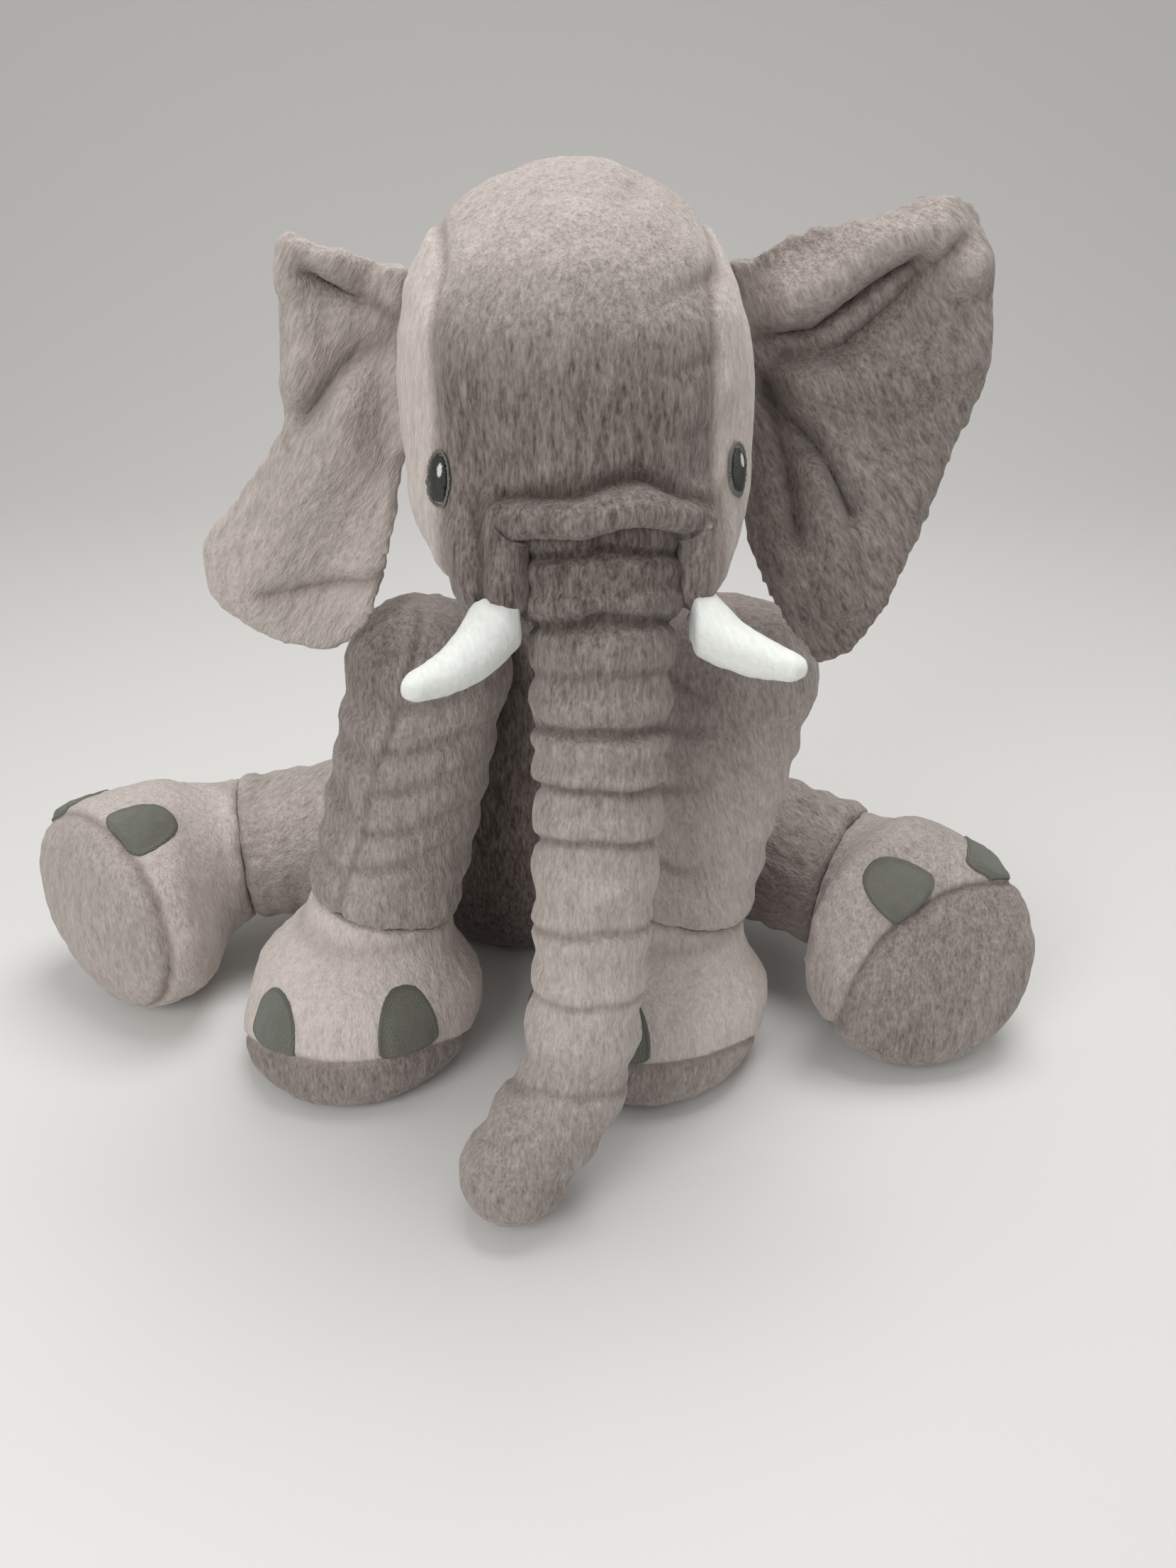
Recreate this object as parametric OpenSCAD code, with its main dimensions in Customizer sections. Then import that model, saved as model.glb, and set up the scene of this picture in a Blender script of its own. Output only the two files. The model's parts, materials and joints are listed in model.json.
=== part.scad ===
// Seated plush elephant, made as a sewn and stuffed toy: fabric panels over fibre filling, with
// the head, ears, trunk, legs and tail each free to flop about the seam that holds it.
// Left and right are the animal's own. It faces -Y, +Z is up, and the origin lies on the flat
// underside that it sits on, between the hips.

/* [Torso] */
// Width of the torso at the hips
torso_w = 268; // [250:1:280]
// Depth of the torso at the hips
torso_d = 226; // [210:1:234]
// Height of the middle of the neck above the floor
neck_z = 405; // [395:1:420]
// How far the neck stands forward of the seat
neck_forward = 115; // [108:1:125]
// How far the neck leans to the animal's left
neck_side = 36; // [28:1:42]
// Radius of the stuffed neck
neck_r = 56; // [50:1:60]
// Height of the shoulders above the floor
shoulder_z = 292; // [284:1:298]

/* [Head] */
// Width of the head
head_w = 196; // [188:1:208]
// Height of the head
head_h = 206; // [198:1:216]
// Depth of the head from brow to nape
head_d = 200; // [192:1:208]
// Turn of the head towards the animal's left, in degrees
head_turn = 7; // [3:1:9]
// Width of the middle panel that runs over the head between its two seams
gusset_w = 136; // [126:1:144]
// Height of an embroidered eye
eye_h = 29; // [24:1:32]
// Width of an embroidered eye
eye_w = 18; // [14:1:20]
// Length of a tusk
tusk_l = 84; // [74:1:92]
// Radius of a tusk at its root
tusk_r = 17; // [14:1:19]

/* [Ears] */
// Reach of an ear outwards from its seam
ear_w = 140; // [128:1:148]
// Height of an ear above the middle of its seam
ear_up = 80; // [72:1:88]
// Height of an ear below the middle of its seam
ear_down = 180; // [165:1:185]
// Thickness of an ear through both layers
ear_t = 13; // [10:1:14]
// Length of the seam that holds an ear
ear_seam_l = 96; // [84:1:104]

/* [Trunk] */
// Radius of the trunk at its root
trunk_r = 43; // [39:1:44]
// Radius of the trunk along its lower part
trunk_tip_r = 36; // [33:1:37]
// Depth of the stitched rings around the trunk
trunk_gather = 4; // [2:0.5:5]

/* [Legs] */
// Radius of a front leg
leg_r = 55; // [50:1:57]
// Radius of a hind leg
hind_r = 62; // [58:1:64]
// Depth of the gathered rings around a leg
leg_gather = 4; // [2:0.5:5]
// Width of a foot
foot_w = 174; // [162:1:177]
// Length of a foot from heel to toe
foot_l = 174; // [162:1:176]
// Length of a foot from its sole to its ankle seam
foot_h = 130; // [122:1:134]
// Width of a toenail
nail_w = 42; // [34:1:46]
// Height of a toenail
nail_h = 44; // [36:1:48]

/* [Fabric] */
// Thickness of the plush with its backing
fabric_t = 4; // [3:0.5:5]
// Thickness of the sewn-on patches
patch_t = 1.6; // [1:0.2:2.4]
// Clearance between a ball of filling and the socket that it turns in
joint_gap = 0.4; // [0.3:0.1:0.6]
// Clearance between a skin and the filling in it
fill_gap = 0.3; // [0.2:0.1:0.5]

/* [Tail] */
// Length of the tail
tail_l = 86; // [76:1:90]
// Radius of the tail at its root
tail_r = 9; // [7:0.5:10]

/* [Hidden] */

plush = [0.56, 0.51, 0.50];
filling_white = [0.93, 0.93, 0.91];
nail_grey = [0.37, 0.38, 0.36];
tusk_white = [0.93, 0.95, 0.92];
sides = 22;          // sides of a loft's rings
head_sides = 18;     // sides of the rounded masses that make up the head
ball_sides = 32;     // sides of the balls and sockets

RIGHT = -1;
LEFT = 1;

// ---- shared shapes ----

function mix(a, b, t) = a + (b - a) * t;
function ease(t) = let (c = max(0, min(1, t))) c * c * (3 - 2 * c);
function unit(v) = v / norm(v);
// Distance from an ellipse's middle to its edge, along the direction d
function reach(rx, ry, d) = 1 / norm([d.x / rx, d.y / ry]);
// The radius of a socket whose flats clear a ball of radius r
function around(r) = r / pow(cos(180 / ball_sides), 2);
// A ring of points about c, in the plane of ex and ey
function ring(c, ex, ey) = [for (i = [0:sides - 1]) c + ex * cos(360 * i / sides) + ey * sin(360 * i / sides)];

// A closed solid through rings of equal length. It ends in flat caps, or in itself if it is a loop.
// flip splits its four-sided faces along their other diagonal.
module loft(rings, loop = false, flip = false) {
    n = len(rings[0]);
    m = len(rings);
    last = loop ? m - 1 : m - 2;
    walls = [
        for (j = [0:last], i = [0:n - 1])
            let (a = j * n + i, b = j * n + (i + 1) % n, up = ((j + 1) % m - j) * n)
            each flip ? [[a, a + up, b + up], [a, b + up, b]] : [[a, a + up, b], [b, a + up, b + up]]
    ];
    caps = loop ? [] : [[for (i = [0:n - 1]) i], [for (i = [n - 1:-1:0]) (m - 1) * n + i]];
    polyhedron(points = [for (r = rings) each r], faces = concat(walls, caps));
}

// Turns a shape whose own axis is +Z so that its axis runs along d
module along(d) {
    rotate([0, acos(d.z / norm(d)), atan2(d.y, d.x)]) children();
}

module ellipsoid(c, r) {
    translate(c) scale(r) sphere(1, $fn = head_sides);
}

module ball(c, r) {
    hull() translate(c) sphere(r, $fn = ball_sides);
}

// ---- torso ----

seat_y = 20;         // the middle of the seat lies this far behind the origin's line through the hips
shoulder_angle = 38; // each shoulder points this far forward of sideways
hip_z = 94;
hip_angle = 12;      // each hip points this far forward of sideways
shoulder_bury = 3;   // how deep a shoulder sits in the torso
hip_bury = 36;

// Share of the full width at each share of the neck's height
torso_profile = [
    [0, 0.72], [0.03, 0.87], [0.1, 0.97], [0.22, 1], [0.36, 0.94], [0.5, 0.82], [0.62, 0.70],
    [0.74, 0.60], [0.84, 0.50], [0.92, 0.40], [0.97, 0.34]
];

function torso_share(z) = lookup(z / neck_z, torso_profile);
function torso_x(z) = neck_side * ease((z - 60) / 240);
function torso_y(z) = seat_y - (neck_forward + seat_y) * pow(z / neck_z, 1.6);
// The middle of a socket in the torso's side, for a ball of radius r that points a degrees forward
function torso_joint(side, z, a, r, bury) =
    let (d = [side * cos(a), -sin(a)],
         share = torso_share(z),
         out = reach(torso_w / 2 * share, torso_d / 2 * share, d) + r - bury)
    [torso_x(z) + d.x * out, torso_y(z) + d.y * out, z];

shoulder_r = leg_r + 1;
hip_r = hind_r + 3;
neck = [neck_side, -neck_forward, neck_z];
function shoulder(side) = torso_joint(side, shoulder_z, shoulder_angle, shoulder_r, shoulder_bury);
function hip(side) = torso_joint(side, hip_z, hip_angle, hip_r, hip_bury);

module torso_form(inset) {
    difference() {
        union() {
            loft([
                for (p = torso_profile)
                    let (z = max(p[0] * neck_z, inset), share = torso_share(z))
                    ring([torso_x(z), torso_y(z), z],
                         [torso_w / 2 * share - inset, 0, 0], [0, torso_d / 2 * share - inset, 0])
            ]);
            ball(neck, neck_r - inset);
        }
        for (side = [RIGHT, LEFT]) {
            ball(shoulder(side), around(shoulder_r + joint_gap) + inset);
            ball(hip(side), around(hip_r + joint_gap) + inset);
        }
    }
}

// One half of the skin: its seams run down the middle of the back and the belly
module torso_side(side) {
    color(plush) intersection() {
        difference() {
            torso_form(0);
            torso_form(fabric_t);
        }
        translate([neck_side / 2 + (side > 0 ? fill_gap / 2 : -neck_z - fill_gap / 2), -neck_z, 0])
            cube([neck_z, 2 * neck_z, 2 * neck_z]);
    }
}

module torso_filling() {
    color(filling_white) torso_form(fabric_t + fill_gap);
}

// ---- head ----

head_at = neck + [-3, -85, 92];  // the middle of the head
ear_seam = [head_w / 2 - 5, 24, 4]; // the middle of the left ear's seam, in the head's own frame
ear_roll_r = 8;
trunk_root = [4, -64, -63];      // the middle of the trunk's root, in the head's own frame

// From the head's own frame to the part's
function from_head(p) = head_at + [
    p.x * cos(head_turn) - p.y * sin(head_turn),
    p.x * sin(head_turn) + p.y * cos(head_turn),
    p.z
];
function to_head(p) = let (d = p - head_at) [
    d.x * cos(head_turn) + d.y * sin(head_turn),
    -d.x * sin(head_turn) + d.y * cos(head_turn),
    d.z
];

module in_head() {
    translate(head_at) rotate([0, 0, head_turn]) children();
}

// The head's outer shape before anything is hollowed out of it
module head_mass(inset) {
    w = head_w / 2 - inset;
    d = head_d / 2 - inset;
    h = head_h / 2 - inset;
    hull() { // skull and forehead
        ellipsoid([0, 12, 12], [w * 0.97, d * 0.88, h * 0.88]);
        ellipsoid([0, -16, 2], [w * 0.93, d * 0.82, h * 0.9]);
    }
    hull() { // forehead down to the brow
        ellipsoid([0, -16, 2], [w * 0.93, d * 0.82, h * 0.9]);
        ellipsoid([trunk_root.x, -52, -36], [w * 0.58, d * 0.5, h * 0.44]);
    }
    ellipsoid([trunk_root.x, -71, -48], [w * 0.54, d * 0.43, h * 0.24]); // fold over the trunk
    for (side = [RIGHT, LEFT]) {
        hull() { // temple to cheek
            ellipsoid([side * 28, 0, 0], [w * 0.7, d * 0.8, h * 0.7]);
            ellipsoid([side * 42, -22, -54], [w * 0.53, d * 0.6, h * 0.49]);
        }
        hull() { // cheek to muzzle
            ellipsoid([side * 42, -22, -54], [w * 0.53, d * 0.6, h * 0.49]);
            ellipsoid([side * 47, -58, -84], [w * 0.3, d * 0.38, h * 0.3]);
        }
    }
    hull() { // jaw
        ellipsoid([0, 10, -46], [w * 0.7, d * 0.66, h * 0.48]);
        ellipsoid([0, -44, -78], [w * 0.5, d * 0.4, h * 0.26]);
    }
    hull() { // nape
        ellipsoid([0, 34, -8], [w * 0.8, d * 0.62, h * 0.74]);
        ellipsoid([0, 30, -44], [w * 0.62, d * 0.5, h * 0.46]);
    }
}

// Room below the trunk's ball for the trunk to hang and to swing forwards
module trunk_room(inset) {
    hull()
        for (at = [[0, -30, 8], [0, 3, 3 - trunk_flank], [2, -44, -90], [2, -8, -90]])
            translate(trunk_root + at - [0, 0, 1 - inset])
                cylinder(r = trunk_r + 1.5 + inset, h = 1, $fn = ball_sides);
}

module head_form(inset) {
    difference() {
        head_mass(inset);
        hull() { // the neck, with room below it for the chest as the head nods
            ball(to_head(neck), around(neck_r + joint_gap) + inset);
            ball(to_head(neck + [0, 26, -90]), neck_r + 34 + inset);
        }
        ball(trunk_root, around(trunk_ball(trunk_r) + joint_gap) + inset);
        trunk_room(inset);
        for (side = [RIGHT, LEFT])
            translate([side * ear_seam.x, ear_seam.y, ear_seam.z])
                cylinder(r = around(ear_roll_r + joint_gap) + inset, h = ear_seam_l + 2 * inset + 4,
                         center = true, $fn = ball_sides);
    }
}

module head_shell() {
    difference() {
        head_form(0);
        head_form(fabric_t);
    }
}

module head_gusset() {
    color(plush) in_head() intersection() {
        head_shell();
        cube([gusset_w, 2 * head_d, 2 * head_h], center = true);
    }
}

module head_cheek(side) {
    color(plush) in_head() intersection() {
        head_shell();
        translate([side * (gusset_w / 2 + fill_gap + head_w), 0, 0])
            cube([2 * head_w, 2 * head_d, 2 * head_h], center = true);
    }
}

module head_filling() {
    color(filling_white) in_head() head_form(fabric_t + fill_gap);
}

eye_out = 27;    // an eye's distance from the head's midline
eye_z = -38;
eye_toe_out = 38; // an eye faces this far sideways of forward

// A thin patch over the head's own surface, inside an ellipse around the eye and outside a hole in it
module eye_patch(side, w, h, hole_w, hole_h) {
    in_head() intersection() {
        difference() {
            head_mass(-fill_gap - patch_t);
            head_mass(-fill_gap);
        }
        translate([side * eye_out, 0, eye_z]) rotate([90, 0, side * eye_toe_out])
            linear_extrude(head_d) difference() {
                scale([w / 2, h / 2]) circle(1, $fn = sides);
                if (hole_w > 0) scale([hole_w / 2, hole_h / 2]) circle(1, $fn = sides);
            }
    }
}

module eye_ring(side) {
    color(nail_grey) eye_patch(side, eye_w, eye_h, eye_w - 5, eye_h - 5);
}

module eye_pupil(side) {
    color([0.16, 0.2, 0.17]) eye_patch(side, eye_w - 5.6, eye_h - 5.6, 0, 0);
}

// A tusk is a tapered tube of cloth, stuffed and curved, whose root is sewn into the muzzle's side
tusk_root = [43, -76, -96];
tusk_turn = [58, -114, -118];
tusk_end = [95, -134, -119];
tusk_rings = 7;

function curve(a, b, c, t) = mix(mix(a, b, t), mix(b, c, t), t);
function tusk_ring(side, t, grow) =
    let (k = tusk_l / 84,
         turn = tusk_root + (tusk_turn - tusk_root) * k,
         end = tusk_root + (tusk_end - tusk_root) * k,
         p = curve(tusk_root, turn, end, t),
         u = unit(mix(turn - tusk_root, end - turn, t)),
         e = unit(cross([0, 0, 1], u)),
         f = cross(u, e),
         r = tusk_r * (1 - 0.55 * pow(t, 1.5)) * grow,
         q = ring([0, 0, 0], e * r, f * r))
    [for (v = side > 0 ? q : [for (i = [sides - 1:-1:0]) q[i]]) [side * (p + v).x, (p + v).y, (p + v).z]];

module tusk(side) {
    color(tusk_white) in_head() difference() {
        loft([
            for (j = [0:tusk_rings]) tusk_ring(side, j / tusk_rings, 1),
            tusk_ring(side, 1.05, 0.72),
            tusk_ring(side, 1.075, 0.3)
        ]);
        head_mass(-fill_gap);
        trunk_room(0);
    }
}

// ---- ears ----

// Edge of each ear, as [share of its reach, height of its top edge, depth of its bottom edge], both
// as shares of the ear's height and depth. The right ear's upper corner is folded in.
left_ear_edge = [
    [0, 0.58, 0.27], [0.1, 0.66, 0.61], [0.24, 0.76, 0.83], [0.40, 0.82, 0.97], [0.52, 0.88, 0.92],
    [0.64, 0.96, 0.76], [0.74, 1.0, 0.58], [0.84, 0.92, 0.38], [0.93, 0.62, 0.22], [0.98, 0.20, 0.08]
];
right_ear_edge = [
    [0, 0.58, 0.27], [0.1, 0.66, 0.58], [0.24, 0.70, 0.89], [0.34, 0.78, 0.97], [0.40, 0.76, 0.99],
    [0.46, -0.45, 1.0], [0.62, -0.82, 0.97], [0.74, -1.06, 0.92], [0.84, -1.24, 0.86], [0.9, -1.4, 0.80]
];
ear_rows = 9;        // points up each face of an ear
ear_sweep = [0.12, -0.14]; // how far the right and the left ear lean back, as shares of their reach
ear_hang = [26, -30]; // how far the lower lobe of the right and the left ear hangs further back

// A point of the ear's middle sheet, for a share v of the way from its bottom edge to its top
function ear_sheet(e, v, hand) =
    let (x = e[0] * ear_w,
         z = mix(-e[2] * ear_down, e[1] * ear_up, v))
    [x, x * ear_sweep[hand] + ear_hang[hand] * ease((-z - 20) / 120) * ease(e[0] * 3), z];

// One layer of the ear: its outer face, then back along the middle sheet
function ear_layer(e, face, hand) =
    let (half = [for (i = [0:ear_rows - 1])
             let (v = i / (ear_rows - 1)) max(2.2, ear_t / 2 * sqrt(1 - pow(abs(2 * v - 1), 4)))],
         front = [for (i = [0:ear_rows - 1])
             ear_sheet(e, i / (ear_rows - 1), hand) + [0, (face < 0 ? -half[i] : fill_gap / 2), 0]],
         back = [for (i = [ear_rows - 1:-1:0])
             ear_sheet(e, i / (ear_rows - 1), hand) + [0, (face < 0 ? -fill_gap / 2 : half[i]), 0]])
    concat(back, front);

module ear(side, face) {
    edge = side > 0 ? left_ear_edge : right_ear_edge;
    color(plush) in_head() translate([side * ear_seam.x, ear_seam.y, ear_seam.z]) {
        difference() {
            loft([
                for (e = edge) let (q = ear_layer(e, face, side > 0 ? 1 : 0))
                    [for (i = [0:len(q) - 1]) let (p = q[side > 0 ? len(q) - 1 - i : i]) [side * p.x, p.y, p.z]]
            ], flip = face < 0);
            if (face < 0)
                cylinder(r = around(ear_roll_r + fill_gap), h = 2 * ear_down, center = true, $fn = ball_sides);
        }
        if (face > 0)
            cylinder(r = ear_roll_r, h = ear_seam_l, center = true, $fn = ball_sides);
    }
}

// ---- trunk ----

ring_steps = 6; // points along each stitched ring of a sleeve

// Radius of a ball whose flank meets a sleeve of radius r at its stitched end
function trunk_ball(r) = norm([r - trunk_gather, trunk_flank]);
trunk_flank = 14; // depth of a ball's flank, where its sleeve begins, below its middle
trunk_rim = 18;   // height of a socket's rim above the middle of the ball in it

// The trunk hangs through these points, from its root to its tip, and bends at each of them
trunk_path = [
    from_head(trunk_root),
    from_head(trunk_root) + [3, -20, -64],
    from_head(trunk_root) + [1, -34, -158],
    from_head(trunk_root) + [-4, -48, -262],
    from_head(trunk_root) + [-13, -56, -336],
    from_head(trunk_root) + [-51, -72, -397]
];
trunk_ring_counts = [2, 3, 2, 1, 1]; // stitched rings in each length

// The edge of a gathered sleeve between two heights below its top, as [radius, height] points
function gathered(top, bottom, r0, r1, rings, gather, inset) = [
    for (i = [1:rings * ring_steps])
        let (t = i / (rings * ring_steps), z = -mix(top, bottom, t))
        [mix(r0, r1, t) - gather * pow(cos(180 * i / ring_steps), 2) - inset, z]
];
// Points of an arc about [0, at], between two angles above the horizontal
function arc(r, a0, a1, at) = [for (i = [0:8]) let (a = mix(a0, a1, i / 8)) [r * cos(a), at + r * sin(a)]];
function above(points, z) = [for (p = points) if (p.y > z) p];
function backwards(points) = [for (i = [len(points) - 1:-1:0]) points[i]];

crown = 62; // a sleeve is open above this angle of its ball, where its filling joins on
// A sleeve's ball from its crown down to its flank, and then its gathered rings
function upper_edge(ball_r, flank_r, bottom, r0, r1, rings, gather, inset, start) =
    let (r = ball_r - inset, x = flank_r - inset)
    concat(arc(r, start, -acos(x / r), 0),
           gathered(sqrt(pow(ball_r, 2) - pow(flank_r, 2)), bottom, r0, r1, rings, gather, inset));

// Half outline of one length of trunk: a ball above, and below it a socket for the next ball
function trunk_edge(i, length, inset, start) =
    upper_edge(trunk_ball(trunk_r_at(i)), trunk_r_at(i) - trunk_gather, length - trunk_rim,
               trunk_r_at(i), trunk_r_at(i + 1), trunk_ring_counts[i], trunk_gather, inset, start);

module trunk_length_outline(i, length, part) {
    socket = trunk_ball(trunk_r_at(i + 1)) + joint_gap;
    inner = trunk_r_at(i + 1) - trunk_gather - fabric_t - (part == "sleeve" ? 0 : fill_gap);
    inner_z = -length + sqrt(pow(socket, 2) - pow(inner, 2));
    if (part == "sleeve")
        polygon(concat(
            trunk_edge(i, length, 0, crown),
            arc(socket, asin(trunk_rim / socket), acos(inner / socket), -length),
            backwards(above(trunk_edge(i, length, fabric_t, crown), inner_z + 0.5))));
    else
        polygon(concat(
            above(trunk_edge(i, length, fabric_t + fill_gap, 90), inner_z + 0.5),
            arc(socket, acos(inner / socket), 90, -length)));
}

function trunk_r_at(i) = mix(trunk_r, trunk_tip_r, min(1, i / 3));

module trunk_length(i, part) {
    from = trunk_path[i];
    to = trunk_path[i + 1];
    color(part == "sleeve" ? plush : filling_white)
        translate(from) along(from - to)
            rotate_extrude($fn = 64)
                trunk_length_outline(i, norm(to - from), part);
}

// The last length ends in a round nose
function tip_edge(length, inset, start) =
    let (nose_top = sqrt(pow(trunk_tip_r, 2) - pow(trunk_tip_r - trunk_gather, 2)))
    concat(upper_edge(trunk_ball(trunk_tip_r), trunk_tip_r - trunk_gather, length - nose_top,
                      trunk_tip_r, trunk_tip_r, 1, trunk_gather, inset, start),
           arc(trunk_tip_r - inset, acos((trunk_tip_r - trunk_gather - inset) / (trunk_tip_r - inset)) - 4,
               -90, -length));

module trunk_tip(part) {
    from = trunk_path[4];
    to = trunk_path[5];
    length = norm(to - from);
    color(part == "sleeve" ? plush : filling_white)
        translate(from) along(from - to)
            rotate_extrude($fn = 64)
                if (part == "sleeve")
                    polygon(concat(tip_edge(length, 0, crown), backwards(tip_edge(length, fabric_t, crown))));
                else
                    polygon(tip_edge(length, fabric_t + fill_gap, 90));
}

// ---- legs ----

// Where each sole rests: its middle, and the way it faces
front_left = ["front", LEFT];
front_right = ["front", RIGHT];
hind_left = ["hind", LEFT];
hind_right = ["hind", RIGHT];
front_sole_side = [-136, 78]; // right, left
front_sole_y = -176;
front_toe = [0, -1, 0];
hind_sole = [[-334, -138, 87], [290, -196, 86]];
hind_face = [[-0.62, -0.78, 0.05], [0.16, -0.90, 0.34]];
hind_ankle = [[-240, -44, 92], [243, -80, 86]];
front_rings = 5;
hind_rings = 3;
sole_share = 0.24; // the sole's seam runs round the foot this share of the way up
front_tilt = 16;   // the seam is this much higher at the toe of a front foot, and lower at its heel
hind_tilt = -14;

function is_front(leg) = leg[0] == "front";
function leg_side(leg) = leg[1];
function leg_index(leg) = leg[1] > 0 ? 1 : 0;
function leg_joint(leg) = is_front(leg) ? shoulder(leg_side(leg)) : hip(leg_side(leg));
function leg_radius(leg) = is_front(leg) ? leg_r : hind_r;
function leg_ball_r(leg) = is_front(leg) ? shoulder_r : hip_r;
function sole_middle(leg) = is_front(leg) ? [front_sole_side[leg_index(leg)], front_sole_y, 0] : hind_sole[leg_index(leg)];
// The unit vector from the sole towards the ankle
function sole_up(leg) = is_front(leg) ? [0, 0, 1] : -unit(hind_face[leg_index(leg)]);
// The unit vector from toe to heel in the plane of the sole
function heel(leg) = let (u = sole_up(leg), toe = is_front(leg) ? front_toe : [0, 0, 1]) unit(u * (toe * u) - toe);
// The ankle lies behind the middle of the sole, towards the heel
ankle_back = 9;
function ankle(leg) = is_front(leg)
    ? sole_middle(leg) + [(leg_joint(leg).x - sole_middle(leg).x) * 0.42, ankle_back, foot_h * 0.98]
    : mix(sole_middle(leg), hind_ankle[leg_index(leg)], foot_h / 130);
function leg_axis(leg) = unit(leg_joint(leg) - ankle(leg));
function leg_length(leg) = norm(leg_joint(leg) - ankle(leg));
function ankle_r(leg) = leg_radius(leg) - leg_gather;

foot_profile = [[0, 0.78], [0.05, 0.91], [0.12, 0.975], [sole_share, 1], [0.4, 0.99], [0.6, 0.93], [0.8, 0.80], [1, 0.62]];

function leg_edge(leg, inset, start) =
    upper_edge(leg_ball_r(leg), ankle_r(leg), leg_length(leg), leg_radius(leg), leg_radius(leg),
               is_front(leg) ? front_rings : hind_rings, leg_gather, inset, start);

module leg_sleeve(leg) {
    color(plush) translate(leg_joint(leg)) along(leg_axis(leg)) rotate_extrude($fn = 64)
        polygon(concat(leg_edge(leg, 0, crown), backwards(leg_edge(leg, fabric_t, crown))));
}

module leg_filling(leg) {
    color(filling_white) translate(leg_joint(leg)) along(leg_axis(leg)) rotate_extrude($fn = 64)
        polygon(concat(leg_edge(leg, fabric_t + fill_gap, 90), [[0, -leg_length(leg)]]));
}

// How far a ring of the foot rises at its toe, so that the sole's seam lies askew
function toe_rise(leg, t) =
    (is_front(leg) ? front_tilt : hind_tilt)
    * (t < sole_share ? t / sole_share : pow((1 - t) / (1 - sole_share), 1.5));

// One ring of a foot, a share t of the way from its sole to its ankle
function foot_ring(leg, t, inset) =
    let (a = leg_axis(leg),
         u = sole_up(leg),
         tilt = ease(t),
         up = unit(mix(u, a, tilt)),
         y = heel(leg),
         ey = unit(y - up * (y * up)),
         ex = cross(ey, up),
         share = lookup(t, foot_profile),
         end = ease((t - 0.55) / 0.45),
         rx = mix(foot_w / 2 * share, ankle_r(leg), end) - inset,
         ry = mix(foot_l / 2 * share, ankle_r(leg), end) - inset,
         c = mix(sole_middle(leg), ankle(leg), t))
    ring(c, ex * rx, ey * ry - u * toe_rise(leg, t));

module foot_cover(leg) {
    shares = [sole_share, 0.32, 0.45, 0.58, 0.72, 0.86, 1];
    n = len(shares) - 1;
    color(plush) loft(concat(
        [for (s = shares) foot_ring(leg, s, 0)],
        [for (i = [n:-1:0]) foot_ring(leg, shares[i], fabric_t)]), loop = true);
}

module sole(leg) {
    under = sole_share - 2 * fill_gap / foot_h;
    floor_share = fabric_t / foot_h;
    color(plush) loft([
        foot_ring(leg, 0, 0), foot_ring(leg, 0.05, 0), foot_ring(leg, 0.12, 0), foot_ring(leg, under, 0),
        foot_ring(leg, under, fabric_t), foot_ring(leg, 0.12, fabric_t), foot_ring(leg, 0.05, fabric_t),
        foot_ring(leg, floor_share, fabric_t + 1)
    ]);
}

module foot_filling(leg) {
    inset = fabric_t + fill_gap;
    low = (fabric_t + fill_gap) / foot_h;
    color(filling_white) loft([
        foot_ring(leg, low, inset + 1),
        for (s = [0.05, 0.12, sole_share, 0.32, 0.45, 0.58, 0.72, 0.86, 1]) foot_ring(leg, s, inset)
    ], flip = true);
}

nail_steps = 5;
// Where the two nails sit round each foot, in degrees from its toe, right foot then left
front_nail_angles = [[-40, 29], [-66, 4]];
hind_nail_angles = [[-44, 23], [-26, 46]];

// A ring of a nail: a short arc of the foot's surface, out and back
function nail_row(leg, middle, t, half) =
    let (n = nail_steps,
         at = function (i, lift)
             let (a = -90 + middle + half * (2 * i / n - 1),
                  q = foot_ring_basis(leg, t))
             q[0] + q[1] * (cos(a) * (foot_rx(leg, t) + lift)) + q[2] * (sin(a) * (foot_ry(leg, t) + lift))
                 - sole_up(leg) * (sin(a) * toe_rise(leg, t)))
    concat([for (i = [0:n]) at(i, fill_gap + patch_t)], [for (i = [n:-1:0]) at(i, fill_gap)]);

function foot_rx(leg, t) = mix(foot_w / 2 * lookup(t, foot_profile), ankle_r(leg), ease((t - 0.55) / 0.45));
function foot_ry(leg, t) = mix(foot_l / 2 * lookup(t, foot_profile), ankle_r(leg), ease((t - 0.55) / 0.45));
function foot_ring_basis(leg, t) =
    let (up = unit(mix(sole_up(leg), leg_axis(leg), ease(t))),
         y = heel(leg),
         ey = unit(y - up * (y * up)))
    [mix(sole_middle(leg), ankle(leg), t), cross(ey, up), ey];

module nails(leg) {
    rows = 5;
    low = sole_share + 0.01;
    high = low + nail_h / foot_h;
    half = nail_w / foot_w * 180 / PI;
    color(nail_grey) for (m = (is_front(leg) ? front_nail_angles : hind_nail_angles)[leg_index(leg)])
        loft([
            for (j = [0:rows])
                let (s = j / rows)
                nail_row(leg, m, mix(low, high, s), half * sqrt(1.02 - s * s) * (s < 0.3 ? 0.9 + s / 3 : 1))
        ]);
}

// ---- tail ----

tail_z = 118;
tail_root_r = tail_r + 2;
tail_tuft_r = 11;
function tail_root() =
    let (share = torso_share(tail_z))
    [torso_x(tail_z), torso_y(tail_z) + torso_d / 2 * share + tail_root_r + joint_gap, tail_z];
tail_hang = [0, 0.28, -1];

module tail_cord() {
    color(plush) translate(tail_root()) along(-tail_hang) rotate_extrude($fn = 48)
        polygon(concat(
            [for (a = [90:-15:-45]) tail_root_r * [cos(a), sin(a)]],
            [[tail_r * 0.72, -2 * tail_root_r], [tail_r * 0.6, -tail_l], [0, -tail_l]]));
}

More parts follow.
